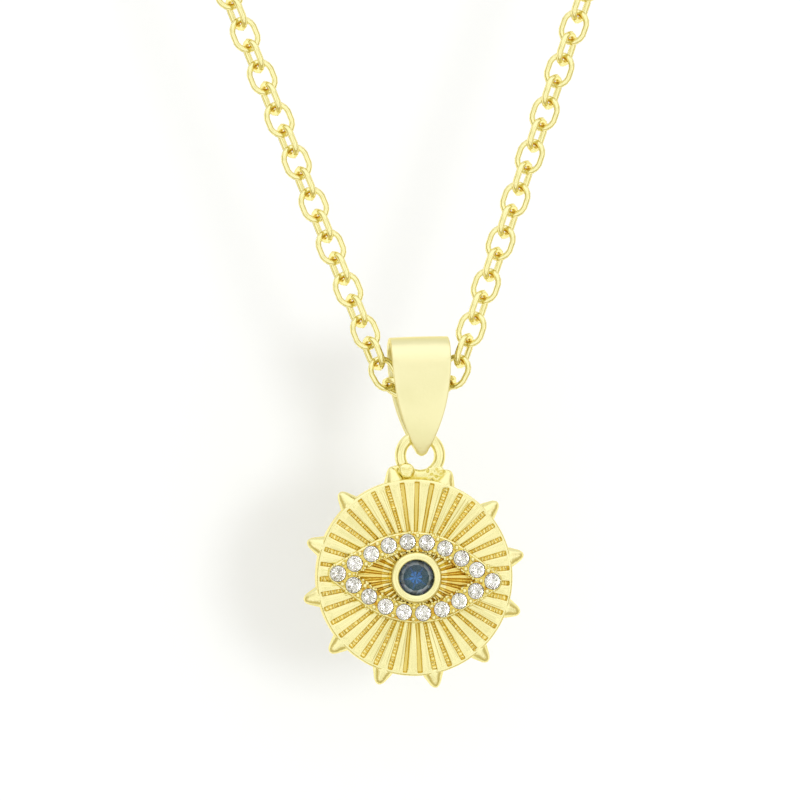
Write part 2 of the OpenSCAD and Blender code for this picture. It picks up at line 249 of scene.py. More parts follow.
def piece_of(name, points, faces, materials, edges=()):
    """A new object from points and faces, shaded smooth, selected and active."""
    bpy.ops.object.select_all(action="DESELECT")
    mesh = bpy.data.meshes.new(name)
    mesh.from_pydata(points, edges, faces)
    piece = bpy.data.objects.new(name, mesh)
    bpy.context.scene.collection.objects.link(piece)
    for material in materials:
        mesh.materials.append(material)
    piece.select_set(True)
    bpy.context.view_layer.objects.active = piece
    bpy.ops.object.shade_smooth()
    return piece


def outwards():
    """Turns the faces of the active closed shell outwards."""
    bpy.ops.object.mode_set(mode="EDIT")
    bpy.ops.mesh.select_all(action="SELECT")
    bpy.ops.mesh.normals_make_consistent(inside=False)
    bpy.ops.object.mode_set(mode="OBJECT")


def hang(piece, place, body):
    """Sets a finished piece in its place on a body, with its object left at the origin."""
    piece.data.transform(place)
    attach(piece, body)
    piece.select_set(False)


# Each ray is drawn in rows from the bezel to the rim, closer where the grooves end. Across a
# row, the points go from the middle of the groove over its wall, in shares of its half width,
# and then over the land.
across_groove = [0, 0.45, 0.75, 0.95, 1.1, 1.35]
across_land = [0.12, 0.28, 0.5, 0.75, 1.0]
rows = ([groove_inner_r - 0.1 + 0.1 * i for i in range(50)]
        + [6.35 + 0.025 * i for i in range(15)])
columns = 2 * (len(across_groove) - 1 + len(across_land))
points, faces = [], []
for k in range(groove_count):
    middle = math.radians(90) + groove_turn - k * 2 * math.pi / groove_count
    end_r = groove_end_r + 0.06 + uneven(k, "length")
    width = 1 + uneven(k, "width")
    tilts = [uneven((k - 1) % groove_count, "tilt"), uneven(k, "tilt")]
    for r in rows:
        half_sector = r * math.pi / groove_count
        share = max(r - groove_inner_r, 0) / (groove_end_r - groove_inner_r)
        half = (groove_half_inner + (groove_half_outer - groove_half_inner) * share) * width
        side = [a * half for a in across_groove]
        side += [side[-1] + s * (half_sector - side[-1]) for s in across_land]
        for u in [-s for s in reversed(side[1:])] + side[:-1]:
            angle = middle - u / r
            x, y = r * math.cos(angle), r * math.sin(angle)
            beyond = beyond_eye(x, y)
            open_end = 1 - smooth(r, end_r, end_r + groove_fade)
            depth = (1 - smooth(abs(u) - half, *groove_wall)) * open_end
            over = min(max((half_sector - abs(u)) / (half_sector - half), 0), 1)
            tilt = tilts[u > 0] * (u - math.copysign(half_sector, u)) * smooth(r, groove_inner_r, 4)
            crown = (land_crown * r / disc_r * (1 - over ** 2.2) + tilt) * (1 - smooth(r, *land_end))
            z = crown * (1 - depth) - groove_depth * depth
            if beyond < -band_half + band_lap:
                lean = uneven(k, "lean") * math.copysign(1, u)
                from_bezel = 0.15 + 0.85 * smooth(abs(x), 0.5, 1.7)
                pleat_depth = from_bezel * (pleat_h + uneven(k, "pleat"))
                z = (field_top + uneven(k, "ridge")
                     - pleat_depth * (1 - smooth(abs(u) / half_sector + lean, *pleat_side)))
            elif beyond < band_half - band_lap:
                z = under_band
            points.append((x, y, face_z + z))


def face_point(i, j):
    """The index of the point in row i and in column j, counted round the whole face."""
    return (j // columns % groove_count * len(rows) + i) * columns + j % columns


for i in range(len(rows) - 1):
    for j in range(groove_count * columns):
        faces.append((face_point(i, j), face_point(i, j + 1),
                      face_point(i + 1, j + 1), face_point(i + 1, j)))
disc_golds = [cast_gold, beaded_shade_gold, wall_shade_gold, pleat_shade_gold, ridge_shade_gold, plain_shade_gold, brushed_gold]
disc = piece_of("sunburst_disc", points, faces, disc_golds)

# The rim and the back are drawn out from the face's outer edge, as the casting goes on round,
# and the face goes down at its middle, under the bezel
rim = [(disc_r - edge_r + edge_r * math.sin(a), face_z - edge_r + edge_r * math.cos(a))
       for a in [math.radians(22.5 * i) for i in range(1, 5)]]
rim += [(r, -z) for r, z in reversed(rim)] + [(r, -face_z) for r in (disc_r - edge_r, 5.0, 3.0, 1.0)]
well = [(1.2, face_z - 0.5)]
bpy.ops.object.mode_set(mode="EDIT")
bpy.ops.mesh.select_mode(type="EDGE")
for low_r, high_r, steps in ((6, 8, rim), (1.3, 1.5, well)):
    bpy.ops.mesh.select_all(action="DESELECT")
    shell = bmesh.from_edit_mesh(disc.data)
    for edge in shell.edges:
        middle = (edge.verts[0].co + edge.verts[1].co) / 2
        edge.select_set(edge.is_boundary and low_r < middle.to_2d().length < high_r)
    bmesh.update_edit_mesh(disc.data)
    for r, z in steps:
        bpy.ops.mesh.extrude_edges_indiv()
        shell = bmesh.from_edit_mesh(disc.data)
        for vert in shell.verts:
            if vert.select:
                vert.co = (*(vert.co.to_2d().normalized() * r), z)
        bmesh.update_edit_mesh(disc.data)
    bpy.ops.mesh.extrude_edges_indiv()
    bpy.ops.mesh.merge(type="CENTER")
outwards()

# Rough gold, darkened as painted shade and darker the deeper it lies, goes into the depths and
# brushed gold onto the lands, and only the upright grooves have plain floors
for polygon in disc.data.polygons:
    drop = face_z - polygon.center.z
    from_middle = polygon.center.to_2d().length
    near_bezel = from_middle < 2.3
    upright = abs(polygon.center.x) < 0.2 * abs(polygon.center.y)
    if drop > 0.6 or from_middle > 6.69:
        shown = cast_gold
    elif beyond_eye(*polygon.center[:2]) < -band_half + band_lap:
        in_pleat, on_pleat = (ridge_shade_gold, cast_gold) if near_bezel else (pleat_shade_gold, ridge_shade_gold)
        shown = in_pleat if drop > 0.2 else on_pleat
    elif drop > 0.17:
        shown = plain_shade_gold if upright else beaded_shade_gold
    elif drop > 0.03:
        shown = wall_shade_gold
    else:
        shown = brushed_gold if from_middle < 6.6 else cast_gold
    polygon.material_index = disc_golds.index(shown)
bpy.ops.object.shade_smooth_by_angle(angle=math.radians(38))
hang(disc, charm_place, "charm")
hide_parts("charm")

# Spikes
# Twelve small blunt cones of the same gold stand on the rim, cast with it. Each has a foot
# nearly as wide as the rim and a nose that polishing has rounded.
spike_count = 12
spike_turn = math.radians(-0.5)
spike_foot = 6.6
spike_profile = [(0, 0), (0.735, 0), (0.735, 0.2), (0.72, 0.29), (0.68, 0.4), (0.6, 0.57), (0.51, 0.76),
                 (0.43, 0.93), (0.35, 1.07), (0.27, 1.17), (0.18, 1.245), (0.09, 1.29), (0, 1.3)]


def lathe(name, profile, steps, materials):
    """Spins a profile of radius and height about Z, and closes it where it meets the axis."""
    piece = piece_of(name, [(r, 0, z) for r, z in profile], [], materials,
                     edges=[(i, i + 1) for i in range(len(profile) - 1)])
    bpy.ops.object.mode_set(mode="EDIT")
    bpy.ops.mesh.select_all(action="SELECT")
    bpy.ops.mesh.spin(steps=steps, angle=2 * math.pi, center=(0, 0, 0), axis=(0, 0, 1))
    bpy.ops.mesh.select_all(action="SELECT")
    bpy.ops.mesh.remove_doubles(threshold=0.001)
    outwards()
    bpy.ops.object.shade_smooth()
    return piece


def copies(piece, places):
    """Turns a piece into one object with a copy of its mesh at each place."""
    mesh = piece.data
    whole = bmesh.new()
    for place in places:
        copy = mesh.copy()
        copy.transform(place)
        whole.from_mesh(copy)
        bpy.data.meshes.remove(copy)
    whole.to_mesh(mesh)
    whole.free()
    return piece


spikes = copies(lathe("spikes", spike_profile, 28, [cast_gold]),
                [Matrix.Rotation(math.radians(360 / spike_count * (i - 0.5)) + spike_turn, 4, "Z")
                 @ Matrix.Translation((0, spike_foot, 0)) @ Matrix.Rotation(math.radians(-90), 4, "X")
                 for i in range(spike_count)])
hang(spikes, charm_place, "charm")

# Eye band
# A raised almond band of the same casting carries the small stones. Each sits in a round seat
# cut into it, held by beads raised from the metal in the gaps, and the inner side is grainy.
band_top = face_z + 0.35
band_base = face_z - 0.37
band_cast_from = 0.55
stone_d = 1.1
stone_count = 18
stone_pitch = 4 * eye_run / stone_count
stone_girdle_z = band_top - 0.08
seat_r = stone_d / 2 + 0.03
seat_base = stone_girdle_z - 0.58
above_band = band_top + 0.3
# Its deep orange hollow patches, set by noise, are painted shade between the grains and beads
grainy_gold = gold("grainy gold between the stones", (0.9, 0.74, 0.22), 0.2, grain=1.0, grain_size=0.3,
                   deep=0.8, hollow_shade=(0.62, 0.36, 0.04), hollow_shade_size=0.35)


def eye_point(s):
    """A point of the eye's centreline, s along it from the top, to the right."""
    s = s % (4 * eye_run)
    quarter, rest = divmod(s, eye_run)
    q = rest if quarter in (0, 2) else eye_run - rest
    if q < eye_arc_s:
        a = q / eye_arc_r
        x, y = eye_arc_r * math.sin(a), eye_arc_y + eye_arc_r * math.cos(a)
    else:
        x = eye_end.x + (q - eye_arc_s) * math.cos(eye_slope)
        y = eye_end.y - (q - eye_arc_s) * math.sin(eye_slope)
    return Vector((x if quarter < 2 else -x, y if quarter in (0, 3) else -y))


def eye_loop(offset):
    """The outline at an offset outside the centreline, with the same count of points for any.

    Outside, the corner is round. Inside it is sharp, so its points lie a hair apart.
    """
    arc_r = eye_arc_r + offset
    shoulder = (arc_r * math.sin(eye_slope), eye_arc_y + arc_r * math.cos(eye_slope))
    if offset > 0:
        turns = [(math.pi / 2 - eye_slope) * i / 12 for i in range(13)]
        half = [(eye_tip_x + offset * math.cos(b), offset * math.sin(b)) for b in turns]
        start = (eye_tip_x + offset * math.sin(eye_slope), offset * math.cos(eye_slope))
    else:
        corner_x = offset / math.sin(eye_slope)
        half = [(eye_tip_x + corner_x * (1 - 0.0004 * i), 0.0008 * i) for i in range(13)]
        start = half[0]
    half += [(start[0] + share * (shoulder[0] - start[0]), start[1] + share * (shoulder[1] - start[1]))
             for share in [i / 7 for i in range(1, 7)]]
    half += [(arc_r * math.sin(a), eye_arc_y + arc_r * math.cos(a))
             for a in [eye_slope * (1 - i / 16) for i in range(16)]]
    top = half + [(0, eye_arc_y + eye_arc_r + offset)] + [(-x, y) for x, y in reversed(half)]
    return top + [(-x, -y) for x, y in top[1:-1]]


def skin(loops, n, joined=False):
    """The faces between neighbouring loops of n points, with the last joined to the first or not."""
    return [(i * n + j, i * n + (j + 1) % n, (i + 1) % loops * n + (j + 1) % n, (i + 1) % loops * n + j)
            for i in range(loops if joined else loops - 1) for j in range(n)]


section = [(band_half, band_base), (band_half, band_top - 0.16), (band_half - 0.02, band_top - 0.08),
           (band_half - 0.06, band_top - 0.03), (band_half - 0.13, band_top)]
section += [(-w, z) for w, z in reversed(section)]
loops = [[(x, y, z) for x, y in eye_loop(w)] for w, z in section]
faces = skin(len(loops), len(loops[0]), joined=True)
band = piece_of("eye_band", [p for loop in loops for p in loop], faces, [cast_gold, grainy_gold])
outwards()
stone_places = [eye_point((i + 0.5) * stone_pitch) for i in range(stone_count)]
seat_profile = [(0, seat_base), (0.03, seat_base), (seat_r, stone_girdle_z - 0.03), (seat_r, above_band),
                (0, above_band)]
seats = copies(lathe("seats", seat_profile, 28, []), [Matrix.Translation((*p, 0)) for p in stone_places])
cut = band.modifiers.new("seats", "BOOLEAN")
cut.object = seats
cut.solver = "EXACT"
cut.use_self = True
bpy.ops.object.select_all(action="DESELECT")
bpy.context.view_layer.objects.active = band
band.select_set(True)
bpy.ops.object.modifier_apply(modifier=cut.name)
bpy.data.objects.remove(seats)
bpy.ops.object.mode_set(mode="EDIT")
bpy.ops.mesh.select_all(action="SELECT")
bpy.ops.mesh.remove_doubles(threshold=0.002)
bpy.ops.mesh.dissolve_degenerate(threshold=0.001)
bpy.ops.object.mode_set(mode="OBJECT")
for polygon in band.data.polygons:
    polygon.material_index = int(beyond_eye(*polygon.center[:2]) < band_cast_from)
bpy.ops.object.shade_smooth_by_angle(angle=math.radians(35))
hang(band, charm_place, "charm")

# A bead stands on each side of each gap, but only outside at the eye's two tips, where one more
# stands further in. Small uneven grains run along the band's two edges.
bead_r, bead_aside = 0.19, 0.42
tip_bead_r, tip_bead_in = 0.17, 0.12
grains_in_gap = 11
chance = random.Random(7)
bead_places = []
for j in range(stone_count):
    here = eye_point(j * stone_pitch)
    way = (eye_point(j * stone_pitch + 0.01) - eye_point(j * stone_pitch - 0.01)).normalized()
    out = Vector((-way.y, way.x))
    for side in (-1, 1):
        if abs(here.y) < stone_pitch / 2 and side < 0:
            continue
        bead_places.append((here + side * bead_aside * out, bead_r))
    for _ in range(grains_in_gap):
        along = (j + chance.uniform(-0.5, 0.5)) * stone_pitch
        aside = chance.choice((-1, -1, 1)) * chance.uniform(0.6, 0.7)
        spot = eye_point(along) + aside * out
        if abs(beyond_eye(*spot)) > 0.57:
            bead_places.append((spot, chance.uniform(0.07, 0.12)))
tip_bead_x = eye_tip_x - stone_pitch / 2 - tip_bead_in
bead_places += [(Vector((side * tip_bead_x, 0)), tip_bead_r) for side in (-1, 1)]
bead_profile = [(math.sin(a), 1.1 * math.cos(a)) for a in [math.radians(27 * i) for i in range(6)]]
bead_profile.append((0, bead_profile[-1][1]))
beads = copies(lathe("setting_beads", bead_profile, 9, [cast_gold]),
               [Matrix.Translation((*spot, band_top - r * 0.3)) @ Matrix.Diagonal((r, r, r, 1))
                for spot, r in bead_places])
hang(beads, charm_place, "charm")

# Bezel
# The blue stone sits in a smooth thick collar of gold, turned and polished, with a rounded lip
# that is burnished over the stone's edge. The lip's points are counted inwards and down.
bezel_r = 1.8
bezel_top = face_z + 1.2
bezel_base = face_z - 0.45
centre_d = 2.5
centre_girdle_z = bezel_top - 0.42
bezel_floor = centre_girdle_z - 1.15
lip = [(0, 0.3), (0.03, 0.17), (0.1, 0.06), (0.2, 0.01), (0.31, 0), (0.43, 0.015), (0.52, 0.06),
       (0.58, 0.13), (0.6, 0.22), (0.6, 0.31), (0.53, 0.38), (0.53, 0.46)]
bezel_profile = ([(0, bezel_base), (bezel_r + 0.08, bezel_base), (bezel_r + 0.02, face_z),
                  (bezel_r, face_z + 0.3)]
                 + [(bezel_r - inwards, bezel_top - down) for inwards, down in lip]
                 + [(0.2, bezel_floor), (0, bezel_floor)])
burnished_gold = gold("burnished gold", pale, 0.22, grain=0.04, grain_size=0.3)
bezel = lathe("bezel", bezel_profile, 72, [burnished_gold])
hang(bezel, charm_place, "charm")

# Stones
# Round brilliants of cut glass, clear and blue, with an octagonal table, a crown of kites and
# triangles, a thin ground girdle and a pavilion that comes to a point. The pavilions are foiled,
# in shades picked facet by facet: painted reflection and shade, which gives each stone its own sparkle.
def foil(name, shade, roughness=0.12, speckle=0.85):
    """The mirror of a cut stone's lower facets, with specks of a darker share of its shade."""
    material, _, _, shader = mottled_metal(name, [c * speckle for c in shade], shade, 4000)
    shader.inputs["Roughness"].default_value = roughness
    return material


def clear_glass(name, shade, ior):
    """The body of a cut stone, above its girdle."""
    material = bpy.data.materials.new(name)
    material.use_nodes = True
    shader = material.node_tree.nodes["Principled BSDF"]
    shader.inputs["Base Color"].default_value = (*shade, 1)
    shader.inputs["Transmission Weight"].default_value = 1
    shader.inputs["Roughness"].default_value = 0.01
    shader.inputs["IOR"].default_value = ior
    return material


def circle(count, r, z, turn=0.0):
    """Points round the Z axis at a radius and a height, turned by some degrees."""
    angles = [math.radians(360 / count * i + turn) for i in range(count)]
    return [(r * math.cos(a), r * math.sin(a), z) for a in angles]


def brilliant(name, d, glass, foils, tone, table=0.56, crown=0.15, pavilion=0.43, girdle=0.03):
    """A cut stone of diameter d: glass above, the first of the foils at its girdle, and foils below.

    tone(j, kind) gives the foil of one facet: j counts round the stone, and kind inwards. The
    shape is in shares of the diameter.
    """
    rim = d * girdle / 2
    points = circle(8, table * d / 2, rim + d * crown)
    points += circle(8, 0.5 * d * (table + (1 - table) * 0.45), rim + d * crown * 0.6, 22.5)
    points += circle(16, d / 2, rim) + circle(16, d / 2, -rim)
    for r, turn in ((0.33, 11.25), (0.17, 0)):
        points += circle(16, d * r, -rim - d * pavilion * (1 - 2 * r), turn)
    points.append((0, 0, -rim - d * pavilion))
    star, upper, under, outer, inner, tip = 8, 16, 32, 48, 64, 80
    faces = [tuple(range(star))]
    for i in range(8):
        nxt = (i + 1) % 8
        faces += [(i, star + i, nxt), (i, star + (i - 1) % 8, upper + 2 * i, star + i),
                  (upper + 2 * i, upper + 2 * i + 1, star + i),
                  (upper + 2 * i + 1, upper + (2 * i + 2) % 16, star + i)]
    faces += [(upper + j, under + j, under + (j + 1) % 16, upper + (j + 1) % 16) for j in range(16)]
    below_girdle = len(faces)
    for j in range(16):
        nxt = (j + 1) % 16
        faces += [(under + j, outer + j, under + nxt), (under + nxt, outer + j, outer + nxt),
                  (outer + j, inner + nxt, outer + nxt), (outer + j, inner + j, inner + nxt),
                  (inner + j, tip, inner + nxt)]
    materials = [glass] + foils
    stone = piece_of(name, points, faces, materials)
    for polygon in stone.data.polygons[below_girdle - 16:below_girdle]:
        polygon.material_index = 1
    for polygon in stone.data.polygons[below_girdle:]:
        polygon.material_index = materials.index(tone(*divmod(polygon.index - below_girdle, 5)))
    bpy.ops.object.shade_flat()
    outwards()
    return stone


clear_stone = clear_glass("clear stone", (1, 1, 0.99), 1.8)
# The foils' bright, grey and dark shades are painted reflection and shade
bright = foil("bright facet", (1, 1, 0.97), 0.2)
grey = foil("grey facet", (0.84, 0.84, 0.78))
dark = foil("dark facet", (0.36, 0.33, 0.26))
lilac = foil("lilac facet", (0.97, 0.92, 0.96))


def clear_tone(j, kind):
    """A pick of painted reflection for one facet of a clear stone: the outer ones are brighter."""
    return sparkle.choice((bright, bright, bright, bright, grey, dark, lilac) if kind
                          else (bright, bright, bright, lilac))


for number, spot in enumerate(stone_places, 1):
    sparkle = random.Random(number)
    stone = brilliant("clear_stone_%02d" % number, stone_d, clear_stone, [bright, grey, dark, lilac],
                      clear_tone)
    turn = Matrix.Rotation(number * 1.7, 4, "Z")
    hang(stone, charm_place @ Matrix.Translation((*spot, stone_girdle_z)) @ turn, "charm")
    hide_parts("pave_stone_%02d" % number)

blue_stone = clear_glass("blue stone", (0.97, 0.98, 1.0), 1.5)
slate = foil("slate facet", (0.5, 0.57, 0.6), 0.35, 0.4)
dark_slate = foil("dark slate facet", (0.27, 0.3, 0.31), 0.35, 0.4)
teal = foil("teal facet", (0.04, 0.11, 0.15), 0.35, 0.4)
deep_blue = foil("deep blue facet", (0.04, 0.14, 0.34), 0.35, 0.4)
bright_blue = foil("bright blue facet", (0.06, 0.26, 0.7), 0.35, 0.4)
lilac_slate = foil("lilac slate facet", (0.52, 0.49, 0.6), 0.35, 0.4)


def blue_tone(j, kind):
    """The foil of one facet of the blue stone: slate outside, teal further in, blue in the middle; the blue is the
    stone's own, the light and dark facets painted reflection and shade.
    """
    return ((slate, lilac_slate, slate, dark_slate)[j % 4],
            (slate, dark_slate)[j % 3 // 2],
            teal,
            (teal, deep_blue)[j % 3 // 2],
            (bright_blue, deep_blue, bright_blue, teal)[j % 4])[kind]


stone = brilliant("blue_stone", centre_d, blue_stone,
                  [slate, dark_slate, teal, deep_blue, bright_blue, lilac_slate], blue_tone, pavilion=0.1)
hang(stone, charm_place @ Matrix.Translation((0, 0, centre_girdle_z)), "charm")
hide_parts("centre_stone")

# Ring and solder
# A ring of round gold wire is soldered to the top of the disc. Two uneven blobs of solder fill
# the corners beside its foot and run onto the two upper spikes, and the right one is pitted.
ring_r = 1.38
ring_wire = 0.4
ring_y = charm_drop - ring_r
solder_top = 7.6
solder_flat = 0.55

# The solder's blobs are flattened balls, each given by its middle and radius, that melt into
# the ring and into one another
blobs = [(-0.93, 7.42, 0.42, 0.54), (-1.35, 7.25, 0.0, 0.42), (-0.95, 6.95, 0.1, 0.4),
         (-0.5, 7.05, 0.1, 0.4), (-1.72, 7.45, 0.1, 0.3), (-1.5, 6.95, 0.0, 0.4),
         (0.85, 7.4, 0.18, 0.42), (1.35, 7.45, 0.28, 0.4), (0.62, 7.15, 0.18, 0.36),
         (1.3, 7.05, 0.15, 0.4), (1.8, 7.3, 0.15, 0.4), (1.75, 6.95, 0.15, 0.36),
         (-0.2, 7.08, 0.25, 0.26)]
solder_pits = [(0.55, 7.45), (0.85, 7.25), (1.17, 7.62), (1.5, 7.3), (1.2, 7.1), (1.82, 7.0), (1.75, 7.5)]
pit_depth, pit_edge = 0.16, (0.02, 0.13)
bpy.ops.mesh.primitive_torus_add(major_radius=ring_r, minor_radius=ring_wire, major_segments=96,
                                 minor_segments=24, location=(0, ring_y, 0))
ring = bpy.context.object
ring.name = "soldered_ring"
for x, y, z, r in blobs:
    bpy.ops.mesh.primitive_ico_sphere_add(subdivisions=4, radius=r, location=(x, y, z))
    blob = bpy.context.object
    for vert in blob.data.vertices:
        vert.co *= 1 + (0.12 if x > 0 else 0.08) * noise.noise(Vector((x, y, z)) * 3 + vert.co * 4)
        vert.co.z *= solder_flat
    ring.select_set(True)
    bpy.context.view_layer.objects.active = ring
    bpy.ops.object.join()
bpy.ops.object.transform_apply(location=True)
melt = ring.modifiers.new("melt", "REMESH")
melt.mode = "VOXEL"
melt.voxel_size = 0.04
bpy.ops.object.modifier_apply(modifier=melt.name)
soften = ring.modifiers.new("soften", "SMOOTH")
soften.factor = 0.5
soften.iterations = 6
bpy.ops.object.modifier_apply(modifier=soften.name)
for vert in ring.data.vertices:
    solder_share = 1 - smooth(vert.co.y, solder_top, solder_top + 0.3)
    rough = (0.2 + 0.8 * smooth(vert.co.x, 0, 0.7)) * solder_share
    vert.co += vert.normal * rough * 0.06 * noise.noise(vert.co * 4)
    if vert.co.z > 0:
        to_pits = [(vert.co.to_2d() - Vector(pit)).length for pit in solder_pits]
        vert.co.z -= pit_depth * max(1 - smooth(away, *pit_edge) for away in to_pits)
bpy.ops.object.shade_smooth()
ring.data.materials.append(gold("polished ring gold", pale, 0.15, grain=0.05, grain_size=0.25))
# The solder's deeper hollow patches, set by noise, are painted shade
ring.data.materials.append(gold("solder", (0.9, 0.84, 0.44), 0.2, grain=0.15, grain_size=0.3, deep=0.9,
                                hollow_shade=(0.8, 0.66, 0.2), hollow_shade_size=0.7))
for polygon in ring.data.polygons:
    polygon.material_index = int(polygon.center.y < solder_top)
hang(ring, charm_place, "charm")

# Bail
# A tapered strip of gold sheet, satin on its outside, is folded over the chain and closed to
# a narrow round tip that passes through the ring. Its long edges are rounded.
bail_top = 4.13
bail_h = 8.33
bail_w = 4.18
bail_taper = 0.87
bail_wall = 0.35
bail_crown = 0.03
bail_edge_r = 0.1
arch_r = 1.9
arch_z = bail_top - arch_r
leaf_z = 1.6
leaf_r = 10.52
nose_r = 0.5
nose_closing = 0.14
ring_room = 0.17
tip_z = bail_top - bail_h
bail_up = hinges["bail_swing"] - hinges["charm_swing"]
bail_place = (Matrix.Translation(hinges["bail_swing"])
              @ Matrix.Rotation(math.atan2(bail_up.x, bail_up.z), 4, "Y") @ to_metres)

# Stations along the strip's outer side: depth, height, the way out, and its wall there,
# which is thinner where the ring swings inside it
stations = []
rises = [0.004, 0.02, 0.05, 0.1, 0.16, 0.24, 0.34, 0.46, 0.6] + [0.75 + 5.05 * i / 26 for i in range(27)]
for rise in rises:
    z = tip_z + rise
    y = arch_r - leaf_r + math.sqrt(leaf_r ** 2 - (leaf_z - z) ** 2)
    if rise < nose_closing:
        y *= 0.35 + 0.65 * math.sqrt(1 - (1 - rise / nose_closing) ** 2)
    slope = (leaf_z - z) / leaf_r
    room = ring_room * smooth(-z, 2.6, 3.05) * (1 - smooth(-z, 3.45, 3.9))
    stations.append((-y, z, -math.cos(math.asin(slope)), -slope, min(bail_wall - room, y - 0.01)))
stations += [(-arch_r, leaf_z + (arch_z - leaf_z) * i / 3, -1, 0, bail_wall) for i in (1, 2)]
stations += [(-arch_r * math.cos(a), arch_z + arch_r * math.sin(a), -math.cos(a), math.sin(a), bail_wall)
             for a in [math.pi * i / 60 for i in range(31)]]
stations += [(-y, z, -out_y, out_z, wall) for y, z, out_y, out_z, wall in reversed(stations[:-1])]

# At each station the section runs over the crowned outside, round an edge and back inside
quarter_turns = [math.radians(30 * i) for i in range(4)]
points = []
for y, z, out_y, out_z, wall in stations:
    fallen, rise = (bail_top - z) / bail_h, z - tip_z
    half = bail_w / 2 * (1 - bail_taper * max(fallen, 0) ** 2.6)
    if rise < nose_r:
        half = min(half, math.sqrt(nose_r ** 2 - (nose_r - rise) ** 2))
    corner = min(bail_edge_r, wall * 0.45, half * 0.8)
    flat = half - corner
    outside = [(x * flat, bail_crown * (1 - x * x)) for x in [i / 5 - 1 for i in range(11)]]
    edge = [(flat + corner * math.sin(a), -corner + corner * math.cos(a)) for a in quarter_turns[1:]]
    edge += [(flat + corner * math.cos(a), -wall + corner - corner * math.sin(a)) for a in quarter_turns]
    inside = [(flat * s, -wall) for s in (0.5, 0, -0.5)]
    loop = outside + edge + inside + [(-x, depth) for x, depth in reversed(edge)]
    points += [(x, y + out_y * depth, z + out_z * depth) for x, depth in loop]
n = len(loop)
faces = skin(len(stations), n)
faces += [tuple(range(n)), tuple((len(stations) - 1) * n + j for j in range(n))]
satin_gold = gold("satin gold", (0.9, 0.85, 0.52), 0.3, grain=0.06, grain_size=0.2)
bail = piece_of("folded_bail", points, faces, [satin_gold])
outwards()
hang(bail, bail_place, "bail")
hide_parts("bail")

# Chain
# A fine cable chain of oval links, bent from round wire and closed one through the next.
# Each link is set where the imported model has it, from the middle and the axes of its solid.
link_wire = 0.45
link_w = 2.2
link_l = 2.62
crossing_shade_x = 0.7
link_gold = gold("polished chain gold", pale, 0.1, grain=0.02, grain_size=0.3)
# Where a link's inner side meets the next link it takes a deeper gold, painted shade between the links
crossing_shade_gold = gold("painted shade where links cross", (0.88, 0.66, 0.16), 0.15, grain=0.1, grain_size=0.2, deep=0.8)


def link_frames(node):
    """The middle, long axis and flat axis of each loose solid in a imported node."""
    whole = bmesh.new()
    whole.from_mesh(frame["nodes"][node].data)
    bmesh.ops.remove_doubles(whole, verts=whole.verts, dist=1e-7)
    seen, found = set(), []
    for start in whole.verts:
        if start.index in seen:
            continue
        island, queue = [], [start]
        seen.add(start.index)
        while queue:
            vert = queue.pop()
            island.append(vert.co[:])
            for edge in vert.link_edges:
                other = edge.other_vert(vert)
                if other.index not in seen:
                    seen.add(other.index)
                    queue.append(other)
        cloud = np.array(island)
        middle = (cloud.max(axis=0) + cloud.min(axis=0)) / 2
        axes = np.linalg.eigh(np.cov((cloud - cloud.mean(axis=0)).T))[1]
        found.append((Vector(middle), Vector(axes[:, 2]), Vector(axes[:, 0])))
    whole.free()
    return found


bpy.ops.object.select_all(action="DESELECT")
for node in ("chain_left", "chain_right"):
    bpy.ops.mesh.primitive_torus_add(major_radius=(link_w - link_wire) / 2, minor_radius=link_wire / 2,
                                     major_segments=18, minor_segments=6, location=(0, 0, 0))
    link = bpy.context.object
    link.name = "cable_" + node
    for vert in link.data.vertices:
        vert.co.x += math.copysign((link_l - link_w) / 2, vert.co.x)
    link.data.materials.append(link_gold)
    link.data.materials.append(crossing_shade_gold)
    # Painted shade on the inner side of each link's ends, where the next link passes
    for polygon in link.data.polygons:
        inwards = -polygon.normal.x * math.copysign(1, polygon.center.x)
        polygon.material_index = int(abs(polygon.center.x) > crossing_shade_x and inwards > 0.4)
    bpy.ops.object.shade_smooth()
    places = []
    for middle, along, flat in link_frames(node):
        turned = Matrix((along, flat.cross(along), flat)).transposed().to_4x4()
        places.append(Matrix.Translation(middle) @ turned @ to_metres)
    copies(link, places)
    hang(link, Matrix.Identity(4), "necklace")
    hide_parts(node)

# Clasp
# The closure at the nape is a plain hook clasp that closes on a ring, both of the same gold as
# the links that they end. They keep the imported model's shapes, which are hidden by the neck.
for node in ("clasp", "end_ring"):
    for slot in frame["nodes"][node].material_slots:
        slot.link = "OBJECT"
        slot.material = link_gold

# Floor, backdrop, light and camera
# A pale floor under the charm, a pale card close behind it that takes its soft shadow, a
# bright even studio, and the photograph's long lens. The card is clear from behind.
view_turn = math.radians(6)
camera_distance = 0.5
photo_field = 0.056
sensor = 36

# The lens looks at a point just beside the bail's hinge, which is the photograph's middle
ahead = Vector((math.sin(view_turn), math.cos(view_turn), 0))
right = Vector((math.cos(view_turn), -math.sin(view_turn), 0))
aim = hinges["bail_swing"] - 0.0014 * right - Vector((0, 0, 0.00028))


def paper(name, shade):
    """Matt white paper."""
    material = bpy.data.materials.new(name)
    material.use_nodes = True
    shader = material.node_tree.nodes["Principled BSDF"]
    shader.inputs["Base Color"].default_value = (*shade, 1)
    shader.inputs["Roughness"].default_value = 0.9
    shader.inputs["Specular IOR Level"].default_value = 0.1
    return material


floor_z = -0.2
bpy.ops.mesh.primitive_circle_add(vertices=96, radius=0.3, fill_type="NGON", location=(0, -0.03, floor_z))
floor = bpy.context.object
floor.name = "floor"
floor.data.materials.append(paper("floor paper", (0.9, 0.9, 0.88)))
floor.visible_glossy = False

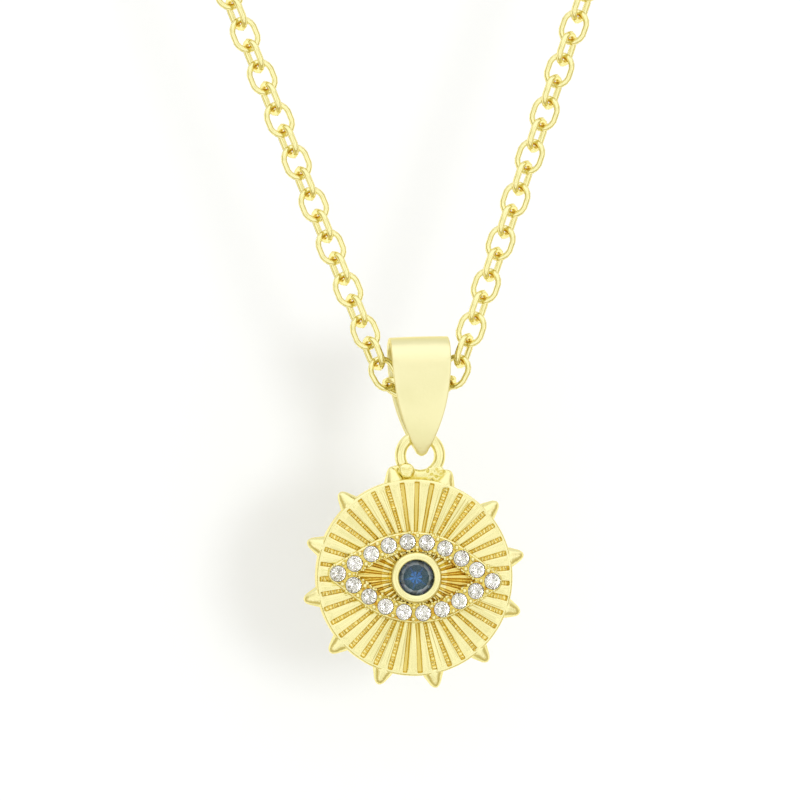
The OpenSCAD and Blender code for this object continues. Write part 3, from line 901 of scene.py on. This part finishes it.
card_y = aim.y + 0.015
card_base, card_top = floor_z + 0.001, -0.097
card = piece_of("backdrop_card", [(-0.09, card_y, card_base), (0.1, card_y, card_base),
                                  (0.1, card_y, card_top), (-0.09, card_y, card_top)],
                [(0, 1, 2, 3)], [paper("card", (0.93, 0.93, 0.92))])
nodes, links = card.active_material.node_tree.nodes, card.active_material.node_tree.links
side = nodes.new("ShaderNodeNewGeometry")
clear = nodes.new("ShaderNodeBsdfTransparent")
pick = nodes.new("ShaderNodeMixShader")
links.new(side.outputs["Backfacing"], pick.inputs["Fac"])
links.new(nodes["Principled BSDF"].outputs["BSDF"], pick.inputs[1])
links.new(clear.outputs["BSDF"], pick.inputs[2])
links.new(pick.outputs["Shader"], nodes["Material Output"].inputs["Surface"])
card.visible_glossy = False

world = bpy.data.worlds.new("studio")
bpy.context.scene.world = world
world.use_nodes = True
nodes, links = world.node_tree.nodes, world.node_tree.links
direction = nodes.new("ShaderNodeTexCoord")
parts = nodes.new("ShaderNodeSeparateXYZ")
links.new(direction.outputs["Generated"], parts.inputs["Vector"])


def tones_along(value, low, stops):
    """A world colour that changes with a value: stops are (value, colour) from low to 1."""
    spread = new_node(nodes, "MapRange", From_Min=low)
    ramp = nodes.new("ShaderNodeValToRGB")
    links.new(value, spread.inputs["Value"])
    links.new(spread.outputs["Result"], ramp.inputs["Fac"])
    for at, tone in stops[1:-1]:
        ramp.color_ramp.elements.new((at - low) / (1 - low)).color = (*tone, 1)
    ramp.color_ramp.elements[0].color = (*stops[0][1], 1)
    ramp.color_ramp.elements[-1].color = (*stops[-1][1], 1)
    return ramp.outputs["Color"]


def blended(kind, first, second, share=None):
    """Two world colours mixed in one of Blender's ways, wholly or by a linked share."""
    mix = colour_mix(nodes)
    mix.blend_type = kind
    mix.inputs["Factor"].default_value = 1
    links.new(first, mix.inputs["A"])
    links.new(second, mix.inputs["B"])
    if share:
        links.new(share, mix.inputs["Factor"])
    return mix.outputs["Result"]


# The studio is bright in front and behind, with a warm dark band between that draws the metal's
# forms. It is a little uneven, and cooler overhead, where it is dim towards the back.
black, lit, warm_dark, warm_light = (0, 0, 0), (1, 1, 1), (0.56, 0.47, 0.24), (1, 0.99, 0.96)
patch, overhead = (0.76, 0.77, 0.64), (0.72, 0.73, 0.7)
front_to_back = tones_along(parts.outputs["Y"], -1, [
    (-1, (0.9, 0.9, 0.88)), (-0.9, lit), (-0.5, lit), (-0.38, warm_dark), (0.08, warm_dark),
    (0.22, warm_light), (1, warm_light)])
upward = tones_along(parts.outputs["Z"], 0, [(0, black), (0.4, black), (0.75, lit), (1, lit)])
walls = new_node(nodes, "TexNoise", Scale=3.5, Detail=1)
links.new(direction.outputs["Generated"], walls.inputs["Vector"])
patches = tones_along(walls.outputs["Fac"], 0, [(0, patch), (0.42, patch), (0.52, lit), (1, lit)])
above = tones_along(parts.outputs["Y"], -1, [(-1, lit), (-0.12, lit), (0.18, overhead), (1, overhead)])
studio = blended("MIX", blended("MULTIPLY", front_to_back, patches), above, upward)

# The camera and matt surfaces see plain white, and only reflections see the studio
seen = nodes.new("ShaderNodeLightPath")
plain = nodes.new("ShaderNodeMath")
plain.operation = "MAXIMUM"
white = new_node(nodes, "Background", Color=(1, 1, 1, 1))
choose = nodes.new("ShaderNodeMixShader")
nodes["Background"].inputs["Strength"].default_value = 1.27
links.new(studio, nodes["Background"].inputs["Color"])
links.new(seen.outputs["Is Camera Ray"], plain.inputs[0])
links.new(seen.outputs["Is Diffuse Ray"], plain.inputs[1])
links.new(plain.outputs["Value"], choose.inputs["Fac"])
links.new(nodes["Background"].outputs["Background"], choose.inputs[1])
links.new(white.outputs["Background"], choose.inputs[2])
links.new(choose.outputs["Shader"], nodes["World Output"].inputs["Surface"])

lamp = bpy.data.lights.new("softbox", "AREA")
lamp.size = 0.14
lamp.energy = 0.7
lamp.color = (0.92, 0.95, 1.0)
softbox = bpy.data.objects.new("softbox", lamp)
softbox.visible_glossy = False
bpy.context.scene.collection.objects.link(softbox)
light_turn = math.radians(25)
light_distance = 0.6
softbox.location = aim + light_distance * (math.sin(light_turn) * right - math.cos(light_turn) * ahead)
softbox.rotation_euler = (aim - softbox.location).to_track_quat("-Z", "Y").to_euler()

camera = bpy.data.objects.new("camera", bpy.data.cameras.new("camera"))
bpy.context.scene.collection.objects.link(camera)
camera.location = aim - camera_distance * ahead
camera.rotation_euler = (math.radians(90), 0, -view_turn)
camera.data.sensor_width = sensor
camera.data.lens = sensor * camera_distance / photo_field
camera.data.clip_start = 0.01
bpy.context.scene.camera = camera
bpy.context.scene.view_settings.view_transform = "Standard"
